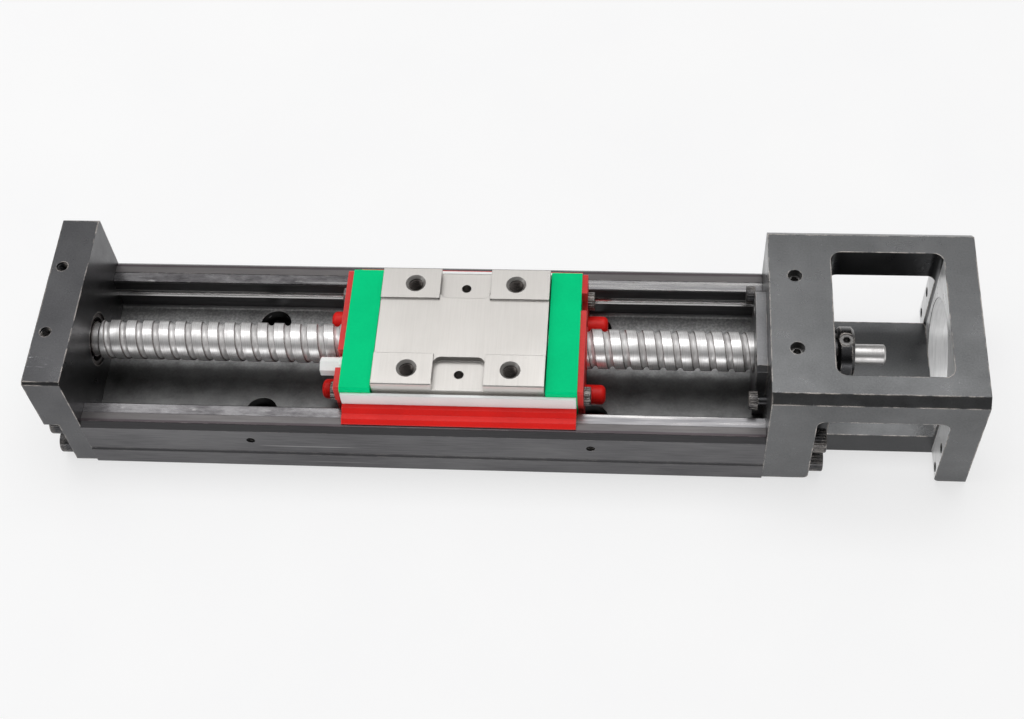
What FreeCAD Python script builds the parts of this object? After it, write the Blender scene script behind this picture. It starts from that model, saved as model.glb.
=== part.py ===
import FreeCAD, Part
import math
import os

V = FreeCAD.Vector
X = V(1, 0, 0)

# rail
RAIL_L = 200.0
RAIL_W = 60.0
RAIL_H = 21.5
FLOOR_Z = 8.5
CHANNEL_WALL = 8.2
CHANNEL_HALF = RAIL_W / 2 - CHANNEL_WALL
CHANNEL_LIP = 0.4
TOP_CHAMFER = 1.6
BOTTOM_CHAMFER = 0.4
GROUND_STRIP_Y = CHANNEL_HALF + 3.6
GROUND_STRIP_DEPTH = 0.15
SIDE_LINE_Z = 8.0
SIDE_LINE_WIDTH = 1.8
SIDE_LINE_DEPTH = 0.5
FLOOR_RELIEF = 0.8
FOOT_HOLE_X = 50.0
FOOT_HOLE_Y = 16.0
FOOT_HOLE_D = 5.5
FOOT_BORE_D = 9.5
FOOT_BORE_DEPTH = 5.4
SIDE_HOLE_X = 50.0
SIDE_HOLE_Z = 15.0
SIDE_HOLE_D = 2.6
SIDE_HOLE_DEPTH = 4.5

# guide balls and their tracks
GUIDE_Y = CHANNEL_HALF - 0.5
GUIDE_Z = 15.6
GUIDE_BALL_D = 3.0
TRACK_CLEARANCE = 0.05
GUIDE_BALL_PITCH = 3.8
GUIDE_BALL_COUNT = 13

# end screws, the same in the end plate and the motor housing
END_SCREW_D = 4.0
END_SCREW_HEAD_D = 7.0
END_SCREW_HEAD_H = 4.0
END_SCREW_SOCKET = 3.0
END_SCREW_Y = RAIL_W / 2 - 4.4
END_SCREW_Z = (4.6, 15.5)
END_SCREW_REACH = 8.0
THREAD_CLEARANCE = 0.02
HOLE_CLEARANCE = 0.25

# end plate
PLATE_T = 11.0
PLATE_HALF = RAIL_W / 2 - 0.5
PLATE_BOTTOM = 0.5
PLATE_TOP = 43.0
PLATE_CHAMFER = 0.8
PLATE_REBATE = 4.4
PLATE_REBATE_TOP = 20.4
PLATE_REBATE_Y = PLATE_HALF - 10.0
PLATE_REBATE_R = 2.0
PLATE_TOP_HOLE_X = 7.7
PLATE_TOP_HOLE_Y = 11.7
PLATE_TOP_HOLE_D = 3.3
PLATE_TOP_HOLE_DEPTH = 8.0

# motor housing
HOUSING_L = 59.0
HOUSING_HALF = RAIL_W / 2 - 0.4
HOUSING_BOTTOM = 0.5
HOUSING_TOP = 43.5
HOUSING_CHAMFER = 2.5
WALL_IN = 17.8
WINDOW_L = 32.0
WINDOW_HALF = HOUSING_HALF - 8.6
WINDOW_R = 3.0
NOTCH_START = 13.4
NOTCH_TOP = 32.4
NOTCH_R = 2.5
FOOT_R = 1.6
SLAB_HALF = HOUSING_HALF - 9.6
SLAB_TOP = 9.5
TOP_HOLE_X = 7.4
TOP_HOLE_Y = 12.4
TOP_HOLE_D = 4.0
TOP_HOLE_DEPTH = 9.0
TOP_SCREW_SINK = 2.0
TOP_SCREW_L = 5.0
TOP_SCREW_SOCKET = 2.0
TOP_SCREW_SOCKET_DEPTH = 2.0
PILOT_D = 34.0
FLANGE_HOLE_Y = HOUSING_HALF - 2.4
FLANGE_HOLE_Z = (4.6, 15.6)
FLANGE_HOLE_D = 3.0

# ball screw
AXIS_Z = 22.0
SCREW_D = 11.8
SCREW_LEAD = 5.0
SCREW_BALL_D = 2.0
SCREW_BALL_R = 6.1
TRACK_ARC_R = 1.04
SCREW_BALL_GAP = 0.03
NUT_TRACK_EASE = 0.03
THREAD_START = -98.6
THREAD_END = 97.4
SHOULDER_D = 9.6
SCREW_BEVEL = 0.6
JOURNAL_D = 8.0
JOURNAL_OVERHANG = 0.8
JOURNAL_CHAMFER = 0.4
STUB_D = 6.0
STUB_END = 34.8
STUB_CHAMFER = 0.5

# end bearing in the end plate
END_BRG_OD = 16.0
END_BRG_T = 5.0
END_BRG_GAP = 0.4
END_BRG_IN = 10.6
END_BRG_OUT = 13.4
END_BRG_BALL = 2.0
END_BRG_COUNT = 8

# support bearings in the motor housing
SUP_BRG_OD = 22.0
SUP_BRG_T = 7.0
SUP_BRG_ROWS = 2
SUP_BRG_IN = 12.6
SUP_BRG_OUT = 17.4
SUP_BRG_BALL = 3.4
SUP_BRG_COUNT = 8
SEAT_CLEARANCE = 0.02
BALL_CLEARANCE = 0.03
BORE_STEP_D = 14.0
JOURNAL_RELIEF = 1.0
JOURNAL_RELIEF_T = 2.4

# bearing retainer
RETAINER_T = 3.2
RETAINER_HALF = 14.0
RETAINER_BOTTOM = 8.9
RETAINER_TOP = 34.5
RETAINER_BORE = 13.0
RETAINER_CHAMFER = 1.5
RETAINER_SCREW_Y = 10.3
RETAINER_SCREW_Z = 9.4
SMALL_SCREW_D = 3.0
SMALL_HEAD_D = 5.5
SMALL_HEAD_H = 2.0
SMALL_SOCKET = 2.0
SMALL_REACH = 6.0
HEAD_RECESS = 2.2
HOLE_BOTTOM_GAP = 0.5
STOP_SCREW_Y = 18.4
STOP_SCREW_Z = 24.8
STOP_SCREW_OUT = 5.2

# lock nut and collar
COLLAR_D = 12.0
NUT_START = 20.6
NUT_T = 4.8
NUT_D = 16.0
NUT_CHAMFER = 0.8
NUT_SCREW_D = 4.0
NUT_SCREW_SINK = 0.6
NUT_SCREW_SOCKET = 2.0
NUT_SCREW_SOCKET_DEPTH = 1.6
NUT_HOLE_EASE = 0.6
NUT_HOLE_EASE_DEPTH = 0.4

# carriage
CAR_X = 11.7
BLOCK_HALF_L = 25.0
BLOCK_BOTTOM = FLOOR_Z + 1.0
BLOCK_LOWER_HALF = CHANNEL_HALF - 1.1
BLOCK_BOTTOM_CHAMFER = 1.5
LEDGE_Z = RAIL_H + 2.8
LEDGE_HALF = CHANNEL_HALF - 0.4
GROOVE_Z = RAIL_H + 6.1
BLOCK_UPPER_HALF = CHANNEL_HALF - 1.2
BLOCK_TOP = 33.0
PAD_EDGE = 0.3
CHANNEL_TOP = 32.2
PAD_INNER_Y = 9.8
NOTCH_FLOOR = 30.1
NOTCH_HALF_L = 7.5
NOTCH_INNER_Y = 10.4
NOTCH_CORNER = 2.3
TOP_TAP_X = 15.0
TOP_TAP_Y = 15.0
TOP_TAP_D = 4.3
TOP_TAP_SINK_D = 6.0
TOP_TAP_DEPTH = 8.0
PIN_HOLE_Y = 15.2
PIN_HOLE_D = 2.8
PIN_HOLE_DEPTH = 4.0
NUT_BODY_D = 17.0
NUT_BORE = 12.6
NUT_TURNS = 3
NUT_BALLS_PER_TURN = 13
TRACK_END_TURNS = 0.2

# end caps, seals, frames
CAP_GAP = 0.3
CAP_T = 9.1
CAP_TOP = 31.0
CAP_EDGE = 0.6
CAP_UPPER_HALF = CHANNEL_HALF - 0.4
CAP_LOWER_HALF = CHANNEL_HALF - 1.4
CAP_BOTTOM = FLOOR_Z + 1.3
CAP_BORE = 14.0
CAP_SLOT_DEPTH = 3.5
CAP_SLOT_L = 6.0
CAP_SLOT_H = 3.6
SEAL_T = 1.7
SEAL_BORE = 12.4
SEAL_EDGE = 0.3
PORT_CUT_D = 6.2
PORT_CUT_Z = 26.3
FRAME_T = 0.9
FRAME_TOP = RAIL_H + 7.6
FRAME_END_GAP = 0.3
# the side seal's section, from the block outwards: distance past the channel wall and height over the rail
SEAL_OUTLINE = [(-1.1, 0.3), (6.0, 0.3), (4.7, 1.5), (3.1, 1.5), (1.8, 2.8), (-1.1, 2.8)]
BUMPER_D = 5.9
BUMPER_L = 6.0
BUMPER_Y = 12.2
BUMPER_Z = 16.0
BUMPER_EDGE = 1.6
SEAL_SCREW_Y = 16.8
SEAL_SCREW_Z = 22.5
SEAL_SCREW_REACH = 7.0
PLUG_Y = -10.8
PLUG_Z = 26.3
PLUG_FLATS = 4.7
PLUG_L = 6.9
PLUG_COLLAR_D = 5.8
PLUG_COLLAR_T = 1.2
PLUG_SHANK_D = 4.0
PLUG_SHANK_L = 3.5
PORT_DEPTH = 4.0

X_LEFT = -RAIL_L / 2
X_RIGHT = RAIL_L / 2


# helpers

def box(x0, x1, y0, y1, z0, z1):
    return Part.makeBox(x1 - x0, y1 - y0, z1 - z0, V(x0, y0, z0))


def rod(d, x0, x1, y=0.0, z=AXIS_Z):
    return Part.makeCylinder(d / 2.0, x1 - x0, V(x0, y, z), X)


def tube(od, bore, x0, x1, y=0.0, z=AXIS_Z):
    return rod(od, x0, x1, y, z).cut(rod(bore, x0 - 1, x1 + 1, y, z))


def post(d, x, y, z0, z1):
    return Part.makeCylinder(d / 2.0, z1 - z0, V(x, y, z0), V(0, 0, 1))


def side_post(d, x, z, y0, y1):
    return Part.makeCylinder(d / 2.0, y1 - y0, V(x, y0, z), V(0, 1, 0))


def prism(points, x0, x1):
    pts = [V(x0, y, z) for y, z in points]
    face = Part.Face(Part.makePolygon(pts + [pts[0]]))
    return face.extrude(V(x1 - x0, 0, 0))


def mirror_points(half):
    return half + [(-y, z) for y, z in reversed(half)]


def mirrored(shape):
    return shape.mirror(V(0, 0, 0), V(0, 1, 0))


def both_sides(shape):
    return [shape, mirrored(shape)]


def hexagon(flats, x0, x1, y, z):
    r = flats / math.sqrt(3)
    pts = []
    for i in range(6):
        a = math.radians(60 * i + 30)
        pts.append((y + r * math.cos(a), z + r * math.sin(a)))
    return prism(pts, x0, x1)


def upright_hexagon(flats, x, y, z0, z1):
    r = flats / math.sqrt(3)
    pts = []
    for i in range(7):
        a = math.radians(60 * i)
        pts.append(V(x + r * math.cos(a), y + r * math.sin(a), z0))
    return Part.Face(Part.makePolygon(pts)).extrude(V(0, 0, z1 - z0))


def straight_edges(shape, axis, test):
    found = []
    for e in shape.Edges:
        a, b = e.Vertexes[0].Point, e.Vertexes[-1].Point
        d = b.sub(a)
        if e.Curve.TypeId != "Part::GeomLine" or d.Length < 1e-6:
            continue
        if abs(abs(d.normalize().dot(axis)) - 1) < 1e-6 and test(a.add(b).multiply(0.5)):
            found.append(e)
    return found


def cap_screw(d, head_d, head_h, socket, x_seat, reach, y, z, way):
    # way is +1 when the head points to +X
    r = d / 2.0 - THREAD_CLEARANCE
    if way > 0:
        body = rod(head_d, x_seat, x_seat + head_h, y, z)
        body = body.fuse(rod(2 * r, x_seat - reach, x_seat, y, z))
        top = x_seat + head_h
        rim = [e for e in body.Edges if abs(e.BoundBox.XMin - top) < 1e-6 and abs(e.BoundBox.XMax - top) < 1e-6]
        body = body.makeChamfer(0.3, rim)
        return body.cut(hexagon(socket, top - head_h * 0.55, top + 1, y, z))
    body = rod(head_d, x_seat - head_h, x_seat, y, z)
    body = body.fuse(rod(2 * r, x_seat, x_seat + reach, y, z))
    top = x_seat - head_h
    rim = [e for e in body.Edges if abs(e.BoundBox.XMin - top) < 1e-6 and abs(e.BoundBox.XMax - top) < 1e-6]
    body = body.makeChamfer(0.3, rim)
    return body.cut(hexagon(socket, top - 1, top + head_h * 0.55, y, z))


# rail

def rail_section():
    w = RAIL_W / 2.0
    half = [
        (w - BOTTOM_CHAMFER, 0),
        (w, BOTTOM_CHAMFER),
        (w, SIDE_LINE_Z - SIDE_LINE_WIDTH / 2),
        (w - SIDE_LINE_DEPTH, SIDE_LINE_Z - SIDE_LINE_WIDTH / 2 + SIDE_LINE_DEPTH),
        (w - SIDE_LINE_DEPTH, SIDE_LINE_Z + SIDE_LINE_WIDTH / 2 - SIDE_LINE_DEPTH),
        (w, SIDE_LINE_Z + SIDE_LINE_WIDTH / 2),
        (w, RAIL_H - TOP_CHAMFER),
        (w - TOP_CHAMFER, RAIL_H),
        (GROUND_STRIP_Y, RAIL_H),
        (GROUND_STRIP_Y, RAIL_H - GROUND_STRIP_DEPTH),
        (CHANNEL_HALF + CHANNEL_LIP, RAIL_H - GROUND_STRIP_DEPTH),
        (CHANNEL_HALF, RAIL_H - GROUND_STRIP_DEPTH - CHANNEL_LIP),
        (CHANNEL_HALF, FLOOR_Z + FLOOR_RELIEF),
        (CHANNEL_HALF - FLOOR_RELIEF, FLOOR_Z),
    ]
    return mirror_points(half)


def make_rail():
    body = prism(rail_section(), X_LEFT, X_RIGHT)
    track = rod(GUIDE_BALL_D + 2 * TRACK_CLEARANCE, X_LEFT - 1, X_RIGHT + 1, GUIDE_Y, GUIDE_Z)
    cuts = both_sides(track)
    for sx in (-1, 1):
        for sy in (-1, 1):
            x, y = sx * FOOT_HOLE_X, sy * FOOT_HOLE_Y
            cuts.append(post(FOOT_HOLE_D, x, y, -1, FLOOR_Z + 1))
            cuts.append(post(FOOT_BORE_D, x, y, FLOOR_Z - FOOT_BORE_DEPTH, FLOOR_Z + 1))
            y0 = min(sy * RAIL_W / 2, sy * (RAIL_W / 2 - SIDE_HOLE_DEPTH))
            cuts.append(side_post(SIDE_HOLE_D, sx * SIDE_HOLE_X, SIDE_HOLE_Z, y0, y0 + SIDE_HOLE_DEPTH))
            for z in END_SCREW_Z:
                x0 = X_LEFT if sx < 0 else X_RIGHT - END_SCREW_REACH - 1
                cuts.append(rod(END_SCREW_D, x0, x0 + END_SCREW_REACH + 1, sy * END_SCREW_Y, z))
    return body.cut(cuts)


# end plate and its screws

def make_end_plate():
    x0, x1 = X_LEFT - PLATE_T, X_LEFT
    body = box(x0, x1, -PLATE_HALF, PLATE_HALF, PLATE_BOTTOM, PLATE_TOP)
    top = straight_edges(body, X, lambda p: p.z > PLATE_TOP - 0.1)
    body = body.makeChamfer(PLATE_CHAMFER, top)
    rebate = box(x0 - 1, x0 + PLATE_REBATE, PLATE_REBATE_Y, PLATE_HALF + 1, PLATE_BOTTOM - 1, PLATE_REBATE_TOP)
    inner = straight_edges(rebate, X, lambda p: p.z > PLATE_REBATE_TOP - 0.1 and p.y < PLATE_HALF)
    rebate = rebate.makeFillet(PLATE_REBATE_R, inner)
    cuts = both_sides(rebate)
    depth = END_BRG_T + END_BRG_GAP
    cuts.append(rod(END_BRG_OD + 2 * SEAT_CLEARANCE, x1 - depth, x1 + 1))
    cuts.append(rod(JOURNAL_D + 2 * JOURNAL_RELIEF, x1 - depth - JOURNAL_RELIEF_T, x1))
    for sy in (-1, 1):
        for z in END_SCREW_Z:
            cuts.append(rod(END_SCREW_D + 2 * HOLE_CLEARANCE, x0 - 1, x1 + 1, sy * END_SCREW_Y, z))
        cuts.append(post(PLATE_TOP_HOLE_D, X_LEFT - PLATE_TOP_HOLE_X, sy * PLATE_TOP_HOLE_Y,
                         PLATE_TOP - PLATE_TOP_HOLE_DEPTH, PLATE_TOP + 1))
    return body.cut(cuts)


def make_end_plate_screws():
    seat = X_LEFT - PLATE_T + PLATE_REBATE
    reach = PLATE_T - PLATE_REBATE + END_SCREW_REACH
    out = []
    for sy in (-1, 1):
        for z in END_SCREW_Z:
            out.append(cap_screw(END_SCREW_D, END_SCREW_HEAD_D, END_SCREW_HEAD_H, END_SCREW_SOCKET,
                                 seat, reach, sy * END_SCREW_Y, z, -1))
    return out


# motor housing and its screws

def make_motor_housing():
    x0, x1 = X_RIGHT, X_RIGHT + HOUSING_L
    body = box(x0, x1, -HOUSING_HALF, HOUSING_HALF, HOUSING_BOTTOM, HOUSING_TOP)
    top = straight_edges(body, X, lambda p: p.z > HOUSING_TOP - 0.1)
    body = body.makeChamfer(HOUSING_CHAMFER, top)
    w0, w1 = x0 + WALL_IN, x0 + WALL_IN + WINDOW_L
    window = box(w0, w1, -WINDOW_HALF, WINDOW_HALF, SLAB_TOP, HOUSING_TOP + 1)
    window = window.makeFillet(WINDOW_R, straight_edges(window, V(0, 0, 1), lambda p: True))
    side = box(x0 + NOTCH_START, w1, SLAB_HALF, HOUSING_HALF + 1, HOUSING_BOTTOM - 1, NOTCH_TOP)
    corners = straight_edges(side, V(0, 1, 0), lambda p: p.z > NOTCH_TOP - 0.1)
    side = side.makeFillet(NOTCH_R, corners)
    cuts = [window] + both_sides(side)
    cuts.append(rod(SUP_BRG_OD + 2 * SEAT_CLEARANCE, x0 - 1, x0 + SUP_BRG_ROWS * SUP_BRG_T))
    cuts.append(rod(BORE_STEP_D, x0, w0 + 1))
    cuts.append(rod(PILOT_D, w1, x1 + 1))
    for sy in (-1, 1):
        for z in END_SCREW_Z:
            cuts.append(rod(END_SCREW_D + 2 * HOLE_CLEARANCE, x0 - 1, x0 + NOTCH_START + 1, sy * END_SCREW_Y, z))
        for z in FLANGE_HOLE_Z:
            cuts.append(rod(FLANGE_HOLE_D, w1 - 1, x1 + 1, sy * FLANGE_HOLE_Y, z))
        for sz in (-1, 1):
            cuts.append(rod(SMALL_SCREW_D, x0 - 1, x0 + SMALL_REACH, sy * RETAINER_SCREW_Y,
                            AXIS_Z + sz * RETAINER_SCREW_Z))
        cuts.append(rod(SMALL_SCREW_D, x0 - 1, x0 + SMALL_REACH, sy * STOP_SCREW_Y, STOP_SCREW_Z))
        cuts.append(post(TOP_HOLE_D, x0 + TOP_HOLE_X, sy * TOP_HOLE_Y, HOUSING_TOP - TOP_HOLE_DEPTH, HOUSING_TOP + 1))
    body = body.cut(cuts)
    feet = straight_edges(body, V(0, 1, 0), lambda p: p.z < HOUSING_BOTTOM + 0.1 and x0 + 5 < p.x < x1 - 5)
    return body.makeFillet(FOOT_R, feet)


def make_motor_housing_screws():
    seat = X_RIGHT + NOTCH_START
    out = []
    for sy in (-1, 1):
        for z in END_SCREW_Z:
            out.append(cap_screw(END_SCREW_D, END_SCREW_HEAD_D, END_SCREW_HEAD_H, END_SCREW_SOCKET,
                                 seat, NOTCH_START + END_SCREW_REACH, sy * END_SCREW_Y, z, 1))
    return out


def make_top_set_screws():
    out = []
    for sy in (-1, 1):
        x, y = X_RIGHT + TOP_HOLE_X, sy * TOP_HOLE_Y
        z1 = HOUSING_TOP - TOP_SCREW_SINK
        body = post(TOP_HOLE_D - 2 * THREAD_CLEARANCE, x, y, z1 - TOP_SCREW_L, z1)
        out.append(body.cut(upright_hexagon(TOP_SCREW_SOCKET, x, y, z1 - TOP_SCREW_SOCKET_DEPTH, z1 + 1)))
    return out


# bearing retainer

def make_retainer():
    x0, x1 = X_RIGHT - RETAINER_T, X_RIGHT
    body = box(x0, x1, -RETAINER_HALF, RETAINER_HALF, RETAINER_BOTTOM, RETAINER_TOP)
    body = body.makeChamfer(RETAINER_CHAMFER, straight_edges(body, X, lambda p: True))
    cuts = [rod(RETAINER_BORE, x0 - 1, x1 + 1)]
    for sy in (-1, 1):
        for sz in (-1, 1):
            y, z = sy * RETAINER_SCREW_Y, AXIS_Z + sz * RETAINER_SCREW_Z
            cuts.append(rod(SMALL_SCREW_D + HOLE_CLEARANCE, x0 - 1, x1 + 1, y, z))
            cuts.append(rod(SMALL_HEAD_D + HOLE_CLEARANCE, x0 - 1, x0 + HEAD_RECESS, y, z))
    return body.cut(cuts)


def make_retainer_screws():
    out = []
    for sy in (-1, 1):
        for sz in (-1, 1):
            seat = X_RIGHT - RETAINER_T + HEAD_RECESS
            out.append(cap_screw(SMALL_SCREW_D, SMALL_HEAD_D, SMALL_HEAD_H, SMALL_SOCKET, seat,
                                 X_RIGHT + SMALL_REACH - HOLE_BOTTOM_GAP - seat, sy * RETAINER_SCREW_Y,
                                 AXIS_Z + sz * RETAINER_SCREW_Z, -1))
    return out


def make_stop_screws():
    seat = X_RIGHT - STOP_SCREW_OUT + SMALL_HEAD_H + 0.6
    out = []
    for sy in (-1, 1):
        out.append(cap_screw(SMALL_SCREW_D, SMALL_HEAD_D, SMALL_HEAD_H + 0.6, SMALL_SOCKET, seat,
                             X_RIGHT - seat + SMALL_REACH - HOLE_BOTTOM_GAP, sy * STOP_SCREW_Y, STOP_SCREW_Z, -1))
    return out


# ball screw

def helix_path(turns):
    # half a turn to an edge, so that each face of the track is short
    edges = []
    for i in range(2 * turns):
        half_turn = Part.makeHelix(SCREW_LEAD, SCREW_LEAD / 2, SCREW_BALL_R)
        half_turn.rotate(V(0, 0, 0), V(0, 0, 1), 180 * i)
        half_turn.translate(V(0, 0, i * SCREW_LEAD / 2))
        edges += half_turn.Edges
    return Part.Wire(edges)


def helix_cutter(x0, turns, profile):
    # profile is a closed wire in the XZ plane, with X radial and Z along the screw
    tool = helix_path(turns).makePipeShell([profile], True, True)
    tool.rotate(V(0, 0, 0), V(0, 1, 0), 90)
    tool.translate(V(x0, 0, AXIS_Z))
    return tool


def track_point(along, out):
    return V(SCREW_BALL_R + out, 0, along)


def screw_track_profile():
    # a pointed arch: each flank is an arc that meets the ball at 45 degrees
    shift = (TRACK_ARC_R - SCREW_BALL_D / 2 - SCREW_BALL_GAP) / math.sqrt(2)
    root = shift - math.sqrt(TRACK_ARC_R ** 2 - shift ** 2)
    half = TRACK_ARC_R - shift
    diagonal = TRACK_ARC_R / math.sqrt(2)
    top = SCREW_BALL_D / 2
    left = Part.Arc(track_point(-half, shift), track_point(shift - diagonal, shift - diagonal), track_point(0, root))
    right = Part.Arc(track_point(0, root), track_point(diagonal - shift, shift - diagonal), track_point(half, shift))
    corners = [track_point(half, shift), track_point(half, top), track_point(-half, top), track_point(-half, shift)]
    sides = [Part.makeLine(p, q) for p, q in zip(corners, corners[1:])]
    return Part.Wire([left.toShape(), right.toShape()] + sides)


def screw_track_start():
    return THREAD_START - SCREW_LEAD


def make_ball_screw():
    turns = math.ceil((THREAD_END - screw_track_start()) / SCREW_LEAD) + 1
    blank = rod(SCREW_D, screw_track_start() - 2 * SCREW_LEAD, screw_track_start() + (turns + 2) * SCREW_LEAD)
    grooved = blank.cut(helix_cutter(screw_track_start(), turns, screw_track_profile()))
    # the grooved bar is turned to length, with a bevel at each end
    turned = rod(SCREW_D + 2 * SCREW_BEVEL, THREAD_START, THREAD_END)
    ends = [e for e in turned.Edges if e.Curve.TypeId == "Part::GeomCircle"]
    body = grooved.common(turned.makeChamfer(2 * SCREW_BEVEL, ends))
    left = rod(JOURNAL_D, end_bearing_x() - JOURNAL_OVERHANG, THREAD_START + 2)
    left = left.makeChamfer(JOURNAL_CHAMFER, [e for e in left.Edges if e.BoundBox.XMax < end_bearing_x()])
    left_shoulder = rod(SHOULDER_D, X_LEFT - END_BRG_GAP, THREAD_START + 2)
    right_shoulder = rod(SHOULDER_D, THREAD_END - 2, X_RIGHT)
    journal = rod(JOURNAL_D, THREAD_END - 2, X_RIGHT + NUT_START + NUT_T)
    stub = rod(STUB_D, THREAD_END, X_RIGHT + STUB_END)
    tip = [e for e in stub.Edges if e.BoundBox.XMin > X_RIGHT + STUB_END - 1e-3]
    stub = stub.makeChamfer(STUB_CHAMFER, tip)
    return body.fuse([left, left_shoulder, right_shoulder, journal, stub])


# bearings

def bearing_race(od, bore, x0, t, ring_r, ball_d):
    ring = tube(od, bore, x0, x0 + t)
    groove = Part.makeTorus(ring_r, ball_d / 2.0 + BALL_CLEARANCE, V(x0 + t / 2.0, 0, AXIS_Z), X)
    return ring.cut(groove)


def ball_ring(x, ring_r, ball_d, count, start=0.0):
    out = []
    for i in range(count):
        a = math.radians(start + 360.0 * i / count)
        p = V(x, ring_r * math.cos(a), AXIS_Z + ring_r * math.sin(a))
        out.append(Part.makeSphere(ball_d / 2.0, p))
    return out


def end_bearing_x():
    return X_LEFT - END_BRG_GAP - END_BRG_T


def make_end_bearing_outer():
    r = (END_BRG_IN + END_BRG_OUT) / 4.0
    return bearing_race(END_BRG_OD, END_BRG_OUT, end_bearing_x(), END_BRG_T, r, END_BRG_BALL)


def make_end_bearing_inner():
    r = (END_BRG_IN + END_BRG_OUT) / 4.0
    return bearing_race(END_BRG_IN, JOURNAL_D + 2 * SEAT_CLEARANCE, end_bearing_x(), END_BRG_T, r, END_BRG_BALL)


def make_support_outer():
    r = (SUP_BRG_IN + SUP_BRG_OUT) / 4.0
    return [bearing_race(SUP_BRG_OD, SUP_BRG_OUT, X_RIGHT + i * SUP_BRG_T, SUP_BRG_T, r, SUP_BRG_BALL)
            for i in range(SUP_BRG_ROWS)]


def make_support_inner():
    r = (SUP_BRG_IN + SUP_BRG_OUT) / 4.0
    return [bearing_race(SUP_BRG_IN, JOURNAL_D + 2 * SEAT_CLEARANCE, X_RIGHT + i * SUP_BRG_T, SUP_BRG_T, r,
                         SUP_BRG_BALL) for i in range(SUP_BRG_ROWS)]


def make_bearing_balls():
    out = ball_ring(end_bearing_x() + END_BRG_T / 2, (END_BRG_IN + END_BRG_OUT) / 4.0, END_BRG_BALL, END_BRG_COUNT)
    for i in range(SUP_BRG_ROWS):
        out += ball_ring(X_RIGHT + (i + 0.5) * SUP_BRG_T, (SUP_BRG_IN + SUP_BRG_OUT) / 4.0, SUP_BRG_BALL,
                         SUP_BRG_COUNT, 22.5 * i)
    return out


def make_collar():
    return tube(COLLAR_D, JOURNAL_D + 2 * SEAT_CLEARANCE, X_RIGHT + SUP_BRG_ROWS * SUP_BRG_T, X_RIGHT + NUT_START)


def make_lock_nut():
    x0 = X_RIGHT + NUT_START
    body = rod(NUT_D, x0, x0 + NUT_T)
    rims = [e for e in body.Edges if e.Curve.TypeId == "Part::GeomCircle"]
    body = body.makeChamfer(NUT_CHAMFER, rims)
    body = body.cut(rod(JOURNAL_D + 2 * SEAT_CLEARANCE, x0 - 1, x0 + NUT_T + 1))
    hole = post(NUT_SCREW_D, x0 + NUT_T / 2, 0, AXIS_Z, AXIS_Z + NUT_D)
    sink = post(NUT_SCREW_D + NUT_HOLE_EASE, x0 + NUT_T / 2, 0, AXIS_Z + NUT_D / 2 - NUT_HOLE_EASE_DEPTH,
                AXIS_Z + NUT_D)
    return body.cut([hole, sink])


def make_lock_nut_screw():
    x = X_RIGHT + NUT_START + NUT_T / 2
    z0 = AXIS_Z + JOURNAL_D / 2 + SEAT_CLEARANCE
    z1 = AXIS_Z + NUT_D / 2 - NUT_SCREW_SINK
    body = post(NUT_SCREW_D - 2 * THREAD_CLEARANCE, x, 0, z0, z1)
    return body.cut(upright_hexagon(NUT_SCREW_SOCKET, x, 0, z1 - NUT_SCREW_SOCKET_DEPTH, z1 + 1))


# carriage

def block_section():
    half = [
        (BLOCK_LOWER_HALF - BLOCK_BOTTOM_CHAMFER, BLOCK_BOTTOM),
        (BLOCK_LOWER_HALF, BLOCK_BOTTOM + BLOCK_BOTTOM_CHAMFER),
        (BLOCK_LOWER_HALF, LEDGE_Z),
        (LEDGE_HALF, LEDGE_Z),
        (LEDGE_HALF, GROOVE_Z),
        (BLOCK_UPPER_HALF, GROOVE_Z),
        (BLOCK_UPPER_HALF, BLOCK_TOP - PAD_EDGE),
        (BLOCK_UPPER_HALF - PAD_EDGE, BLOCK_TOP),
    ]
    return mirror_points(half)


def make_carriage_block():
    x0, x1 = CAR_X - BLOCK_HALF_L, CAR_X + BLOCK_HALF_L
    body = prism(block_section(), x0, x1)
    cuts = [box(x0 - 1, x1 + 1, -PAD_INNER_Y, PAD_INNER_Y, CHANNEL_TOP, BLOCK_TOP + 1)]
    notch = box(CAR_X - NOTCH_HALF_L, CAR_X + NOTCH_HALF_L, NOTCH_INNER_Y, BLOCK_UPPER_HALF + 1,
                NOTCH_FLOOR, BLOCK_TOP + 1)
    inner = straight_edges(notch, V(0, 0, 1), lambda p: p.y < NOTCH_INNER_Y + 0.1)
    notch = notch.makeFillet(NOTCH_CORNER, inner)
    track = rod(GUIDE_BALL_D + 2 * TRACK_CLEARANCE, x0 - 1, x1 + 1, GUIDE_Y, GUIDE_Z)
    cuts += both_sides(notch) + both_sides(track)
    cuts.append(box(CAR_X - NOTCH_HALF_L, CAR_X + NOTCH_HALF_L, -PAD_INNER_Y - 2, PAD_INNER_Y + 2,
                    CHANNEL_TOP, BLOCK_TOP + 1))
    cuts.append(rod(NUT_BODY_D + 2 * SEAT_CLEARANCE, x0 - 1, x1 + 1))
    for sy in (-1, 1):
        for sx in (-1, 1):
            x, y = CAR_X + sx * TOP_TAP_X, sy * TOP_TAP_Y
            cuts.append(post(TOP_TAP_D, x, y, BLOCK_TOP - TOP_TAP_DEPTH, BLOCK_TOP + 1))
            deep = (TOP_TAP_SINK_D - TOP_TAP_D) / 2
            cuts.append(Part.makeCone(TOP_TAP_D / 2, TOP_TAP_SINK_D / 2 + 0.2, deep + 0.2,
                                      V(x, y, BLOCK_TOP - deep), V(0, 0, 1)))
            xs = x1 - SEAL_SCREW_REACH if sx > 0 else x0 - 1
            cuts.append(rod(SMALL_SCREW_D, xs, xs + SEAL_SCREW_REACH + 1, sy * SEAL_SCREW_Y, SEAL_SCREW_Z))
        cuts.append(post(PIN_HOLE_D, CAR_X, sy * PIN_HOLE_Y, NOTCH_FLOOR - PIN_HOLE_DEPTH, BLOCK_TOP + 1))
    return body.cut(cuts)


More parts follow.
